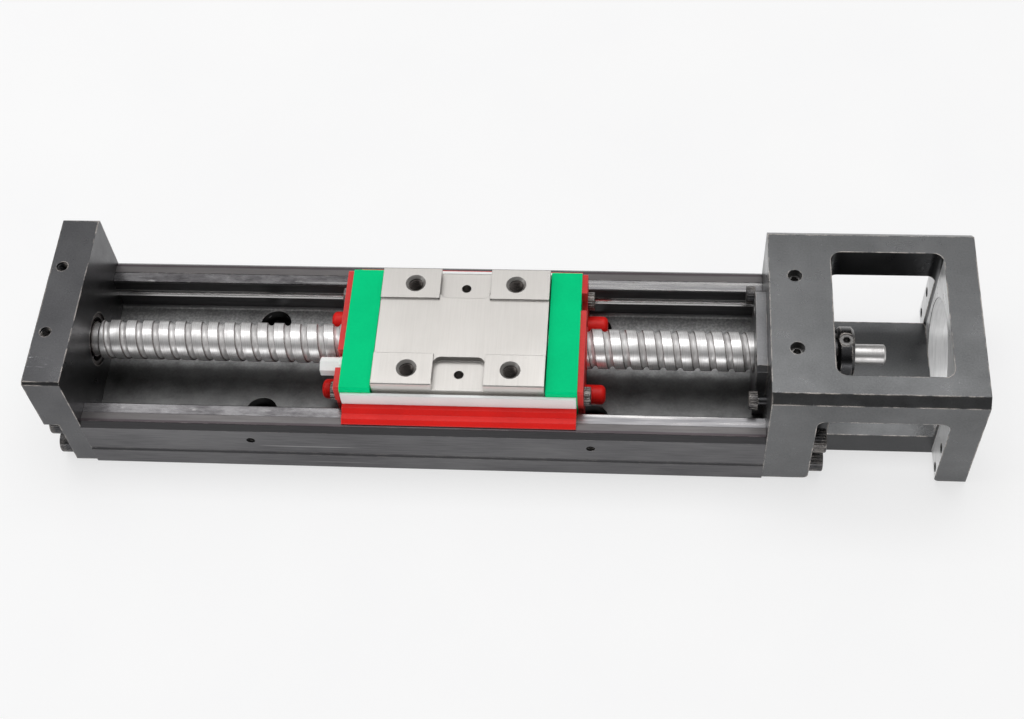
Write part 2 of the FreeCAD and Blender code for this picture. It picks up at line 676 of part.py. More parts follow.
def make_ball_nut():
    x0, x1 = CAR_X - BLOCK_HALF_L, CAR_X + BLOCK_HALF_L
    body = tube(NUT_BODY_D, NUT_BORE, x0, x1)
    r = SCREW_BALL_D / 2 + SCREW_BALL_GAP + NUT_TRACK_EASE
    profile = Part.Wire(Part.makeCircle(r, track_point(0, 0), V(0, 1, 0)))
    return body.cut(helix_cutter(nut_track_start(), NUT_TURNS, profile))


def nut_track_start():
    # whole leads from the screw track, so that both tracks meet
    middle = CAR_X - NUT_TURNS * SCREW_LEAD / 2
    return screw_track_start() + round((middle - screw_track_start()) / SCREW_LEAD) * SCREW_LEAD


def make_nut_balls():
    out = []
    for i in range(int((NUT_TURNS - 2 * TRACK_END_TURNS) * NUT_BALLS_PER_TURN)):
        turn = TRACK_END_TURNS + i / NUT_BALLS_PER_TURN
        a = 2 * math.pi * turn
        # the track starts below the screw and winds to the back
        p = V(nut_track_start() + turn * SCREW_LEAD, SCREW_BALL_R * math.sin(a), AXIS_Z - SCREW_BALL_R * math.cos(a))
        # each ball is turned so that its seam faces the screw
        inward = V(0, -math.sin(a), math.cos(a))
        side = X.cross(inward)
        turned = FreeCAD.Matrix(inward.x, side.x, 1, p.x, inward.y, side.y, 0, p.y, inward.z, side.z, 0, p.z, 0, 0, 0, 1)
        ball = Part.makeSphere(SCREW_BALL_D / 2.0)
        ball.Placement = FreeCAD.Placement(turned)
        out.append(ball)
    return out


def make_guide_balls():
    out = []
    for sy in (-1, 1):
        for i in range(GUIDE_BALL_COUNT):
            x = CAR_X + (i - (GUIDE_BALL_COUNT - 1) / 2.0) * GUIDE_BALL_PITCH
            out.append(Part.makeSphere(GUIDE_BALL_D / 2.0, V(x, sy * GUIDE_Y, GUIDE_Z)))
    return out


def cap_section(shrink=0.0):
    s = shrink
    half = [
        (CAP_LOWER_HALF - BLOCK_BOTTOM_CHAMFER - s, CAP_BOTTOM + s),
        (CAP_LOWER_HALF - s, CAP_BOTTOM + BLOCK_BOTTOM_CHAMFER + s),
        (CAP_LOWER_HALF - s, LEDGE_Z),
        (CAP_UPPER_HALF - s, LEDGE_Z),
        (CAP_UPPER_HALF - s, CAP_TOP - CAP_EDGE - s),
        (CAP_UPPER_HALF - CAP_EDGE - s, CAP_TOP - s),
    ]
    return mirror_points(half)


def cap_start():
    return BLOCK_HALF_L + CAP_GAP


def make_end_cap(way):
    # the same cap at both ends, turned half round
    a, b = cap_start(), cap_start() + CAP_T
    x0, x1 = (CAR_X + a, CAR_X + b) if way > 0 else (CAR_X - b, CAR_X - a)
    body = prism(cap_section(), x0, x1)
    cuts = [rod(CAP_BORE, x0 - 1, x1 + 1)]
    slot_y = GUIDE_Y - CAP_SLOT_L
    for sy in (-1, 1):
        cuts.append(rod(SMALL_SCREW_D + HOLE_CLEARANCE, x0 - 1, x1 + 1, sy * SEAL_SCREW_Y, SEAL_SCREW_Z))
        # the slot that turns the guide balls round
        xa = x0 - 1 if way > 0 else x1 - CAP_SLOT_DEPTH
        cuts.append(box(xa, xa + CAP_SLOT_DEPTH + 1, min(sy * slot_y, sy * CHANNEL_HALF),
                        max(sy * slot_y, sy * CHANNEL_HALF), GUIDE_Z - CAP_SLOT_H / 2, GUIDE_Z + CAP_SLOT_H / 2))
    xp = x1 - PORT_DEPTH if way > 0 else x0 - 1
    cuts.append(rod(PLUG_SHANK_D, xp, xp + PORT_DEPTH + 1, -way * PLUG_Y, PLUG_Z))
    return body.cut(cuts)


def make_end_seal(way):
    a = cap_start() + CAP_T
    x0, x1 = (CAR_X + a, CAR_X + a + SEAL_T) if way > 0 else (CAR_X - a - SEAL_T, CAR_X - a)
    body = prism(cap_section(SEAL_EDGE), x0, x1)
    cuts = [rod(SEAL_BORE, x0 - 1, x1 + 1)]
    for sy in (-1, 1):
        cuts.append(rod(SMALL_SCREW_D + HOLE_CLEARANCE, x0 - 1, x1 + 1, sy * SEAL_SCREW_Y, SEAL_SCREW_Z))
    # the cut-out for the grease port, open at the top
    y = -way * PLUG_Y
    cuts.append(rod(PORT_CUT_D, x0 - 1, x1 + 1, y, PORT_CUT_Z))
    cuts.append(box(x0 - 1, x1 + 1, y - PORT_CUT_D / 2, y + PORT_CUT_D / 2, PORT_CUT_Z, CAP_TOP + 1))
    return body.cut(cuts)


def side_length():
    reach = cap_start() + CAP_T - FRAME_END_GAP
    return CAR_X - reach, CAR_X + reach


def make_side_frame():
    x0, x1 = side_length()
    return box(x0, x1, LEDGE_HALF, LEDGE_HALF + FRAME_T, LEDGE_Z, FRAME_TOP)


def make_side_seal():
    x0, x1 = side_length()
    return prism([(CHANNEL_HALF + y, RAIL_H + z) for y, z in SEAL_OUTLINE], x0, x1)


def make_bumpers():
    a = cap_start() + CAP_T + SEAL_T
    out = []
    for way in (-1, 1):
        for sy in (-1, 1):
            x0 = CAR_X + a if way > 0 else CAR_X - a - BUMPER_L
            tip = x0 + BUMPER_L if way > 0 else x0
            body = rod(BUMPER_D, x0, x0 + BUMPER_L, sy * BUMPER_Y, BUMPER_Z)
            rim = [e for e in body.Edges if abs(e.BoundBox.XMin - tip) < 1e-3 and abs(e.BoundBox.XMax - tip) < 1e-3]
            out.append(body.makeFillet(BUMPER_EDGE, rim))
    return out


def make_seal_screws():
    a = cap_start() + CAP_T + SEAL_T
    reach = SEAL_T + CAP_T + CAP_GAP + SEAL_SCREW_REACH - HOLE_BOTTOM_GAP
    out = []
    for way in (-1, 1):
        for sy in (-1, 1):
            out.append(cap_screw(SMALL_SCREW_D, SMALL_HEAD_D, SMALL_HEAD_H, SMALL_SOCKET, CAR_X + way * a, reach,
                                 sy * SEAL_SCREW_Y, SEAL_SCREW_Z, way))
    return out


def make_grease_plug():
    x1 = CAR_X - cap_start() - CAP_T
    body = hexagon(PLUG_FLATS, x1 - PLUG_L, x1, PLUG_Y, PLUG_Z)
    body = body.fuse([rod(PLUG_COLLAR_D, x1 - PLUG_COLLAR_T, x1, PLUG_Y, PLUG_Z),
                      rod(PLUG_SHANK_D - 2 * THREAD_CLEARANCE, x1, x1 + PLUG_SHANK_L, PLUG_Y, PLUG_Z)])
    return body


def group(shapes):
    return shapes if isinstance(shapes, Part.Shape) else Part.makeCompound(shapes)


NODES = {
    "rail": make_rail,
    "end_plate": make_end_plate,
    "end_plate_screws": make_end_plate_screws,
    "end_bearing_outer_ring": make_end_bearing_outer,
    "motor_housing": make_motor_housing,
    "motor_housing_screws": make_motor_housing_screws,
    "housing_set_screws": make_top_set_screws,
    "bearing_retainer": make_retainer,
    "retainer_screws": make_retainer_screws,
    "stop_screws": make_stop_screws,
    "support_bearing_outer_rings": make_support_outer,
    "ball_screw": make_ball_screw,
    "end_bearing_inner_ring": make_end_bearing_inner,
    "support_bearing_inner_rings": make_support_inner,
    "bearing_balls": make_bearing_balls,
    "spacer_collar": make_collar,
    "lock_nut": make_lock_nut,
    "lock_nut_set_screw": make_lock_nut_screw,
    "carriage_block": make_carriage_block,
    "ball_nut": make_ball_nut,
    "nut_balls": make_nut_balls,
    "guide_balls": make_guide_balls,
    "end_cap_left": lambda: make_end_cap(-1),
    "end_cap_right": lambda: make_end_cap(1),
    "end_seal_left": lambda: make_end_seal(-1),
    "end_seal_right": lambda: make_end_seal(1),
    "side_frame_back": make_side_frame,
    "side_frame_front": lambda: mirrored(make_side_frame()),
    "side_seal_back": make_side_seal,
    "side_seal_front": lambda: mirrored(make_side_seal()),
    "bumpers": make_bumpers,
    "seal_screws": make_seal_screws,
    "grease_plug": make_grease_plug,
}

os.makedirs("parts", exist_ok=True)
for name in NODES:
    shape = group(NODES[name]())
    shape.exportStep("parts/" + name + ".step")
    print(name, round(shape.Volume, 2), len(shape.Solids), shape.isValid())
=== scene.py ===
import math

import bpy
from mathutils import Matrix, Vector


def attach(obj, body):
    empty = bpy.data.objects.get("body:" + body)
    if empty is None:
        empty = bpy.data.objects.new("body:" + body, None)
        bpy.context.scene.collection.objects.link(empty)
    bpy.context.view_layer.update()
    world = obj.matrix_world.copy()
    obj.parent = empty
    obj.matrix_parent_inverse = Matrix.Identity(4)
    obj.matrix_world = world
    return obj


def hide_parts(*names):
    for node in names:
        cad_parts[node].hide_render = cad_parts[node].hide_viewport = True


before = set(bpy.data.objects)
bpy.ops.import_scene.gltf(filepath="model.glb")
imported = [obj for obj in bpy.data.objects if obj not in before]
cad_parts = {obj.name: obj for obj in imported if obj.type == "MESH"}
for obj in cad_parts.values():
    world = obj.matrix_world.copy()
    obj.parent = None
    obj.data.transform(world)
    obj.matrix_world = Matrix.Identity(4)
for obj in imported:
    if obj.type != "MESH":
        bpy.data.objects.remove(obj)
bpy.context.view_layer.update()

MM = 0.001

# the photograph's camera
EYE = (0.0652, -0.2658, 0.4275)
EYE_TURN = (32.964, 3.255, 3.523)
SENSOR = 36.0
LENS = 57.6

# places on the slide, in millimetres, as the solids have them
AXIS_Z = 22.0
CHANNEL_HALF = 21.8
STRIP_EDGE = 25.4
LAND_EDGE = 27.5
RAIL_TOP = 21.5
FLOOR_Z = 8.5
GUIDE_TRACK_Y = (21.25, 22.9)
GUIDE_TRACK_Z = (14.0, 17.2)
SCREW_LEAD = 5.0
THREAD_X = (-98.6, 97.4)
SHAFT_END_X = 99.0
# radii across the screw's track, where one surface gives way to the next
TRACK_R = (5.72, 5.35)
TRACK_ROOT_R = (5.2, 5.08)
TRACK_RIM_R = (5.5, 5.7)
TRACK_FLANK_R = (5.5, 5.78)
PLATE_TOP = 43.0
SCUFFED_X = (-104.0, -108.0)
SCUFFED_Y = (-23.5, -20.5)
MOTOR_WALL_X = 149.8
PILOT_R = 17.0
SLAB_HALF = 20.0
WINDOW_HALF = 21.0
CARRIAGE_X = 11.7
BLOCK_LEDGE_Z = 27.9
BLOCK_WALL_Y = (18.6, 19.0)
NOTCH_HALF_X = (8.2, 7.9)
TAP_PLACE = 15.0
TAP_R = (2.35, 2.2)
TAP_MOUTH_Z = (32.4, 31.6)

# fasteners: seats along the rail, and places across it
PLATE_SEAT_X = -106.6
HOUSING_SEAT_X = 113.4
RETAINER_SEAT_X = 99.0
STOP_SEAT_X = 97.4
SEAL_SEAT_X = 36.1
END_SCREW_Y = 25.6
END_SCREW_Z = (4.6, 15.5)
RETAINER_SCREW_Y = 10.3
RETAINER_SCREW_Z = 9.4
STOP_SCREW_Y = 18.4
STOP_SCREW_Z = 24.8
SEAL_SCREW_Y = 16.8
SEAL_SCREW_Z = 22.5
M4 = {"head_d": 7.0, "head_h": 4.0, "socket": 3.0, "shank_d": 3.9, "flutes": 24}
M3 = {"head_d": 5.5, "head_h": 2.0, "socket": 2.0, "shank_d": 2.9, "flutes": 20}
M3_TALL = {**M3, "head_h": 2.6}

# threads: where each one starts at the top of its hole
TAP_TOP = 31.7
PLATE_HOLE_X = -107.7
PLATE_HOLE_Y = 11.7
PLATE_HOLE_TOP = 42.4
FLANGE_HOLE_X = 158.6
FLANGE_HOLE_Y = 27.2
FLANGE_HOLE_Z = (4.6, 15.6)
SENSOR_HOLE_X = 50.0
SENSOR_HOLE_Y = 29.6
SENSOR_HOLE_Z = 15.0

# the wiper lips around the screw
LIP_PLACE_X = 35.4
LIP_R = 6.45

# which way a fastener's or a thread's top points
UPRIGHT = (0, 0, 0)
RIGHTWARD = (0, math.radians(90), 0)
LEFTWARD = (0, math.radians(-90), 0)


def deselect():
    bpy.ops.object.select_all(action="DESELECT")


# surfaces


def start_material(name, metallic, roughness):
    mat = bpy.data.materials.new(name)
    mat.use_nodes = True
    shader = mat.node_tree.nodes["Principled BSDF"]
    shader.inputs["Metallic"].default_value = metallic
    shader.inputs["Roughness"].default_value = roughness
    return mat, mat.node_tree, shader


def add(tree, kind, **values):
    made = tree.nodes.new(kind)
    for key, value in values.items():
        setattr(made, key, value)
    return made


def place(tree, stretch=(1, 1, 1), shift=(0, 0, 0)):
    coords = add(tree, "ShaderNodeTexCoord")
    mapping = add(tree, "ShaderNodeMapping")
    mapping.inputs["Scale"].default_value = stretch
    mapping.inputs["Location"].default_value = shift
    tree.links.new(coords.outputs["Object"], mapping.inputs["Vector"])
    return mapping.outputs["Vector"]


def noise(tree, size_mm, stretch=(1, 1, 1), detail=4.0, roughness=0.55, shift=(0, 0, 0)):
    made = add(tree, "ShaderNodeTexNoise")
    made.inputs["Scale"].default_value = 1 / MM / size_mm
    made.inputs["Detail"].default_value = detail
    made.inputs["Roughness"].default_value = roughness
    tree.links.new(place(tree, stretch, shift), made.inputs["Vector"])
    return made.outputs["Fac"]


def ramp(tree, source, stops):
    made = add(tree, "ShaderNodeValToRGB")
    elements = made.color_ramp.elements
    while len(elements) < len(stops):
        elements.new(0.5)
    for element, (position, value) in zip(elements, stops):
        element.position = position
        colour = value if isinstance(value, tuple) else (value, value, value)
        element.color = (*colour, 1.0)
    tree.links.new(source, made.inputs["Fac"])
    return made.outputs["Color"]


def feed(tree, value, socket):
    if isinstance(value, bpy.types.NodeSocket):
        tree.links.new(value, socket)
    elif isinstance(value, tuple):
        socket.default_value = (*value, 1.0)
    else:
        socket.default_value = value


def mix(tree, amount, first, second):
    made = add(tree, "ShaderNodeMix", data_type="RGBA")
    for value, socket in ((amount, 0), (first, 6), (second, 7)):
        feed(tree, value, made.inputs[socket])
    return made.outputs[2]


def maths(tree, operation, first, second=0.0, clamp=False):
    made = add(tree, "ShaderNodeMath", operation=operation, use_clamp=clamp)
    feed(tree, first, made.inputs[0])
    feed(tree, second, made.inputs[1])
    return made.outputs[0]


def both(tree, first, second):
    # two masks together, or a share of one
    return maths(tree, "MULTIPLY", first, second, clamp=True)


def laid_over(tree, colour, mask, share, tint):
    return mix(tree, both(tree, mask, share), colour, tint)


def rounded_normal(tree, radius_mm):
    made = add(tree, "ShaderNodeBevel", samples=4)
    made.inputs["Radius"].default_value = radius_mm * MM
    return made.outputs["Normal"]


def bump(tree, height, depth_mm, strength, under=None):
    made = add(tree, "ShaderNodeBump")
    made.inputs["Distance"].default_value = depth_mm * MM
    made.inputs["Strength"].default_value = strength
    tree.links.new(height, made.inputs["Height"])
    if under is not None:
        tree.links.new(under, made.inputs["Normal"])
    return made.outputs["Normal"]


def local(tree, axis):
    # a place along one axis in millimetres
    coords = add(tree, "ShaderNodeTexCoord")
    split = add(tree, "ShaderNodeSeparateXYZ")
    tree.links.new(coords.outputs["Object"], split.inputs[0])
    return maths(tree, "MULTIPLY", split.outputs[axis], 1 / MM)


def off_centre(tree, axis, centre=0.0):
    # how far to either side of a centre along one axis
    return maths(tree, "ABSOLUTE", maths(tree, "SUBTRACT", local(tree, axis), centre))


def distance(tree, across, up):
    squares = maths(tree, "ADD", maths(tree, "MULTIPLY", across, across), maths(tree, "MULTIPLY", up, up))
    return maths(tree, "SQRT", squares)


def facing(tree, axis):
    # how squarely the surface faces along one axis, 0 to 1
    flat = add(tree, "ShaderNodeNewGeometry")
    split = add(tree, "ShaderNodeSeparateXYZ")
    tree.links.new(flat.outputs["Normal"], split.inputs[0])
    return maths(tree, "ABSOLUTE", split.outputs[axis])


def rising(tree, source, low, high):
    made = add(tree, "ShaderNodeMapRange", interpolation_type="SMOOTHSTEP")
    made.inputs["From Min"].default_value = low
    made.inputs["From Max"].default_value = high
    tree.links.new(source, made.inputs["Value"])
    return made.outputs["Result"]


def within(tree, source, low, high, soft=0.05):
    # 1 between the two values and 0 outside them
    up = rising(tree, source, low - soft, low + soft)
    down = rising(tree, source, high + soft, high - soft)
    return both(tree, up, down)


def above_axis(tree):
    return maths(tree, "SUBTRACT", local(tree, "Z"), AXIS_Z)


def off_axis(tree):
    # distance from the screw's centre line in millimetres
    return distance(tree, local(tree, "Y"), above_axis(tree))


def edge_share(tree, radius_mm, low, high):
    # near an edge the rounded normal leaves the flat one
    flat = add(tree, "ShaderNodeNewGeometry")
    meet = add(tree, "ShaderNodeVectorMath", operation="DOT_PRODUCT")
    tree.links.new(flat.outputs["Normal"], meet.inputs[0])
    tree.links.new(rounded_normal(tree, radius_mm), meet.inputs[1])
    return ramp(tree, maths(tree, "SUBTRACT", 1.0, meet.outputs["Value"], clamp=True), [(low, 0.0), (high, 1.0)])


def machined_black(name, dark, light, rough, wear, specks=0.3, bared=False, scuffed=False):
    mat, tree, shader = start_material(name, 0.92, rough)
    cloud = noise(tree, 22.0, detail=6.0)
    grit = noise(tree, 0.5, detail=3.0)
    fine = mix(tree, 0.35, cloud, grit)
    colour = ramp(tree, fine, [(0.36, dark), (0.62, light)])
    spots = ramp(tree, noise(tree, 1.1, detail=2.0, shift=(3, 1, 2)), [(0.74, 0.0), (0.79, 1.0)])
    colour = laid_over(tree, colour, spots, specks, (0.42, 0.42, 0.43))
    rubs = ramp(tree, noise(tree, 9.0, (0.3, 1, 1), detail=8.0, shift=(1, 5, 2)), [(0.66, 0.0), (0.74, 1.0)])
    colour = laid_over(tree, colour, rubs, 0.12, (0.4, 0.4, 0.4))
    if scuffed:
        # knocks near the front corner of the top
        near = both(tree, within(tree, local(tree, "Y"), *SCUFFED_Y, 0.8), rising(tree, local(tree, "X"), *SCUFFED_X))
        near = both(tree, near, rising(tree, local(tree, "Z"), PLATE_TOP - 0.4, PLATE_TOP - 0.2))
        lines = ramp(tree, noise(tree, 2.4, (0.25, 2.2, 1), detail=8.0, roughness=0.7, shift=(4, 9, 1)),
                     [(0.55, 0.0), (0.6, 1.0)])
        colour = laid_over(tree, colour, near, lines, (0.6, 0.6, 0.62))
    patchy = ramp(tree, noise(tree, 5.0, detail=7.0, roughness=0.7), [(0.44, 0.0), (0.58, 1.0)])
    edges = both(tree, edge_share(tree, 0.6, 0.01, 0.07), patchy)
    edges = both(tree, edges, wear)
    colour = mix(tree, edges, colour, (0.66, 0.60, 0.55))
    metallic = ramp(tree, edges, [(0.0, 0.92), (1.0, 0.35)])
    smudge = mix(tree, 0.5, fine, noise(tree, 6.0, detail=5.0, shift=(7, 1, 4)))
    tree.links.new(ramp(tree, smudge, [(0.35, rough + 0.1), (0.65, rough - 0.06)]), shader.inputs["Roughness"])
    # the side walls keep the upright lines of the saw
    wall = rising(tree, facing(tree, "X"), 0.8, 0.95)
    sawn = noise(tree, 0.8, (1, 1, 0.04), detail=4.0)
    relief = mix(tree, wall, grit, sawn)
    tree.links.new(bump(tree, relief, 0.02, 0.22, rounded_normal(tree, 0.3)), shader.inputs["Normal"])
    if bared:
        # the motor's seat is bored after blackening, and its inner wall is milled bright
        bore = both(tree, within(tree, off_axis(tree), PILOT_R - 0.2, PILOT_R + 0.3, 0.1),
                    rising(tree, local(tree, "X"), MOTOR_WALL_X + 0.1, MOTOR_WALL_X + 0.3))
        inner = both(tree, within(tree, local(tree, "X"), MOTOR_WALL_X - 0.1, MOTOR_WALL_X + 0.1, 0.03), wall)
        turned = ramp(tree, noise(tree, 0.6, (1, 0.08, 0.08), detail=3.0), [(0.35, 0.82), (0.65, 0.97)])
        milled = ramp(tree, noise(tree, 1.2, (1, 0.1, 1), detail=4.0), [(0.35, 0.74), (0.65, 0.93)])
        # the slab's edges and the window's long walls are painted near black as painted shade
        side = rising(tree, facing(tree, "Y"), 0.8, 0.95)
        deep = both(tree, within(tree, off_centre(tree, "Y"), SLAB_HALF - 0.1, WINDOW_HALF + 0.1, 0.02), side)
        colour = laid_over(tree, colour, deep, 0.7, (0.022, 0.022, 0.024))
        colour = mix(tree, inner, colour, milled)
        colour = mix(tree, bore, colour, turned)
        plain = both(tree, maths(tree, "MAXIMUM", bore, inner), 0.7)
        metallic = maths(tree, "SUBTRACT", metallic, plain, clamp=True)
    tree.links.new(colour, shader.inputs["Base Color"])
    tree.links.new(metallic, shader.inputs["Metallic"])
    return mat


def rail_steel():
    mat, tree, shader = start_material("blackened and ground rail", 0.95, 0.4)
    side = off_centre(tree, "Y")
    height = local(tree, "Z")
    cloud = noise(tree, 16.0, (0.35, 1, 1), detail=6.0)
    grain = noise(tree, 0.6, (0.06, 1, 1), detail=3.0)
    oxide = ramp(tree, mix(tree, 0.4, cloud, grain), [(0.34, (0.085, 0.083, 0.088)), (0.64, (0.145, 0.143, 0.147))])
    # the two strips that the grinding wheel has bared, with streaks and pits
    streaks = noise(tree, 1.5, (0.035, 1, 1), detail=6.0, roughness=0.65)
    bare = ramp(tree, streaks, [(0.3, (0.15, 0.15, 0.16)), (0.5, (0.25, 0.245, 0.25)), (0.7, (0.54, 0.53, 0.52))])
    pits = ramp(tree, noise(tree, 0.9, (0.4, 1, 1), detail=3.0, shift=(2, 8, 1)), [(0.27, 1.0), (0.34, 0.0)])
    bare = laid_over(tree, bare, pits, 0.55, (0.16, 0.14, 0.13))
    # towards the left end the strips keep more of the oxide
    waver = maths(tree, "MULTIPLY", noise(tree, 30.0, (1, 3, 1), shift=(6, 0, 0)), 60.0)
    shine = rising(tree, maths(tree, "ADD", local(tree, "X"), waver), 15.0, 80.0)
    nicks = ramp(tree, noise(tree, 3.0, (0.25, 1, 1), detail=6.0, roughness=0.7, shift=(9, 2, 3)),
                 [(0.6, 0.0), (0.68, 1.0)])
    mottled = ramp(tree, noise(tree, 5.0, (0.5, 1, 1), detail=8.0, roughness=0.75, shift=(3, 3, 3)),
                   [(0.36, (0.07, 0.066, 0.07)), (0.62, (0.2, 0.195, 0.2))])
    worn = mix(tree, both(tree, nicks, 0.7), mottled, (0.55, 0.54, 0.53))
    bare = mix(tree, shine, worn, bare)
    on_top = rising(tree, height, RAIL_TOP - 0.5, RAIL_TOP - 0.3)
    strip = both(tree, within(tree, side, CHANNEL_HALF - 0.4, STRIP_EDGE, 0.03), on_top)
    # the land beside each strip keeps a brownish film
    land = both(tree, within(tree, side, STRIP_EDGE, LAND_EDGE, 0.1), on_top)
    colour = mix(tree, both(tree, land, 0.6), oxide, (0.125, 0.115, 0.113))
    # a dark band painted along the outer rim of the top is painted shade, in place of a wider chamfer
    chamfer_shade_band = both(tree, within(tree, side, LAND_EDGE + 0.1, LAND_EDGE + 1.0, 0.1), on_top)
    colour = laid_over(tree, colour, chamfer_shade_band, 0.75, (0.06, 0.045, 0.05))
    # the channel floor is blotched and speckled with oil
    low = rising(tree, height, FLOOR_Z + 0.6, FLOOR_Z + 0.1)
    inside = both(tree, within(tree, side, -1.0, CHANNEL_HALF, 0.05), low)
    blotch = ramp(tree, noise(tree, 7.0, detail=8.0, roughness=0.7), [(0.3, 0.09), (0.66, 0.15)])
    speck = ramp(tree, noise(tree, 0.7, detail=4.0, shift=(4, 4, 1)), [(0.4, 0.0), (0.7, 1.0)])
    floor_colour = mix(tree, both(tree, speck, 0.25), blotch, (0.19, 0.19, 0.19))
    # the back of the channel floor is painted lighter, a painted reflection of the bright room behind
    painted_rear_reflection = rising(tree, local(tree, "Y"), -3.0, 9.0)
    floor_colour = mix(tree, both(tree, painted_rear_reflection, 0.7), floor_colour,
                       ramp(tree, mix(tree, 0.5, cloud, speck), [(0.3, 0.3), (0.7, 0.52)]))
    colour = mix(tree, inside, colour, floor_colour)
    # the foot holes under the floor are painted black as painted shade
    foot_hole_shade = both(tree, within(tree, height, 0.4, FLOOR_Z - 0.25, 0.1),
                 rising(tree, side, CHANNEL_HALF, CHANNEL_HALF - 0.5))
    colour = mix(tree, foot_hole_shade, colour, (0.012, 0.012, 0.012))
    # the ball tracks in the channel's walls are ground bright
    track = both(tree, within(tree, side, *GUIDE_TRACK_Y, 0.03), within(tree, height, *GUIDE_TRACK_Z, 0.15))
    colour = mix(tree, track, colour, ramp(tree, streaks, [(0.3, (0.8, 0.79, 0.78)), (0.7, (0.97, 0.96, 0.95))]))
    colour = mix(tree, strip, colour, bare)
    scratch = ramp(tree, noise(tree, 2.2, (0.02, 1, 1), detail=2.0, shift=(0, 3, 9)), [(0.7, 0.0), (0.73, 1.0)])
    colour = laid_over(tree, colour, scratch, 0.35, (0.5, 0.5, 0.5))
    patchy = ramp(tree, noise(tree, 4.0, detail=6.0), [(0.5, 0.0), (0.62, 1.0)])
    edges = both(tree, edge_share(tree, 0.3, 0.03, 0.16), patchy)
    colour = laid_over(tree, colour, edges, 0.4, (0.7, 0.66, 0.62))
    tree.links.new(colour, shader.inputs["Base Color"])
    rough = ramp(tree, mix(tree, 0.5, cloud, grain), [(0.35, 0.47), (0.65, 0.36)])
    rough = mix(tree, inside, rough, ramp(tree, noise(tree, 5.0, detail=7.0), [(0.35, 0.34), (0.65, 0.46)]))
    rough = mix(tree, strip, rough, ramp(tree, streaks, [(0.35, 0.34), (0.65, 0.22)]))
    rough = mix(tree, track, rough, ramp(tree, streaks, [(0.35, 0.2), (0.65, 0.14)]))
    tree.links.new(rough, shader.inputs["Roughness"])
    relief = mix(tree, 0.5, grain, streaks)
    tree.links.new(bump(tree, relief, 0.02, 0.25, rounded_normal(tree, 0.25)), shader.inputs["Normal"])
    return mat


def helix_place(tree):
    # place across the screw's track, 0 to 1 from one turn to the next
    turn = maths(tree, "DIVIDE", maths(tree, "ARCTAN2", local(tree, "Y"), above_axis(tree)), 2 * math.pi)
    return maths(tree, "FRACT", maths(tree, "ADD", maths(tree, "DIVIDE", local(tree, "X"), SCREW_LEAD), turn))


def screw_steel():
    mat, tree, shader = start_material("rolled and polished screw", 1.0, 0.3)
    away = off_axis(tree)
    # the marks of rolling and polishing run along the thread
    lines = add(tree, "ShaderNodeTexNoise")
    lines.noise_dimensions = "1D"
    lines.inputs["Scale"].default_value = 26.0
    lines.inputs["Detail"].default_value = 4.0
    tree.links.new(helix_place(tree), lines.inputs["W"])
    turned = mix(tree, 0.3, lines.outputs["Fac"], noise(tree, 0.5, (1, 0.06, 0.06), detail=3.0))
    stain = noise(tree, 6.0, detail=6.0)
    colour = ramp(tree, mix(tree, 0.5, turned, stain), [(0.4, (0.6, 0.585, 0.58)), (0.58, (0.99, 0.98, 0.975))])
    # the track is a touch greyer and its root darker; dark lines painted along its rims and flanks are painted shade
    thread = within(tree, local(tree, "X"), *THREAD_X, 0.1)
    deep = both(tree, rising(tree, away, *TRACK_R), thread)
    colour = laid_over(tree, colour, deep, 0.1, (0.8, 0.78, 0.77))
    root = both(tree, rising(tree, away, *TRACK_ROOT_R), thread)
    colour = laid_over(tree, colour, root, 0.25, (0.3, 0.27, 0.26))
    rim_shade_lines = both(tree, edge_share(tree, 0.2, 0.01, 0.07), thread)
    rim_shade_lines = both(tree, rim_shade_lines, rising(tree, away, *TRACK_RIM_R))
    flank = both(tree, within(tree, away, *TRACK_FLANK_R, 0.04), thread)
    rim_shade_lines = maths(tree, "MAXIMUM", rim_shade_lines, flank)
    colour = laid_over(tree, colour, rim_shade_lines, 0.8, (0.11, 0.075, 0.07))
    # the shaft end is turned grey
    end = rising(tree, local(tree, "X"), SHAFT_END_X, SHAFT_END_X + 0.5)
    colour = laid_over(tree, colour, end, 0.6, (0.42, 0.41, 0.4))
    tree.links.new(colour, shader.inputs["Base Color"])
    # the track is satin and the lands are polished
    tree.links.new(ramp(tree, deep, [(0.0, 0.92), (1.0, 0.6)]), shader.inputs["Metallic"])
    tree.links.new(ramp(tree, mix(tree, 0.5, turned, stain), [(0.38, 0.5), (0.62, 0.32)]), shader.inputs["Roughness"])
    tree.links.new(bump(tree, turned, 0.05, 0.7, rounded_normal(tree, 0.35)), shader.inputs["Normal"])
    return mat


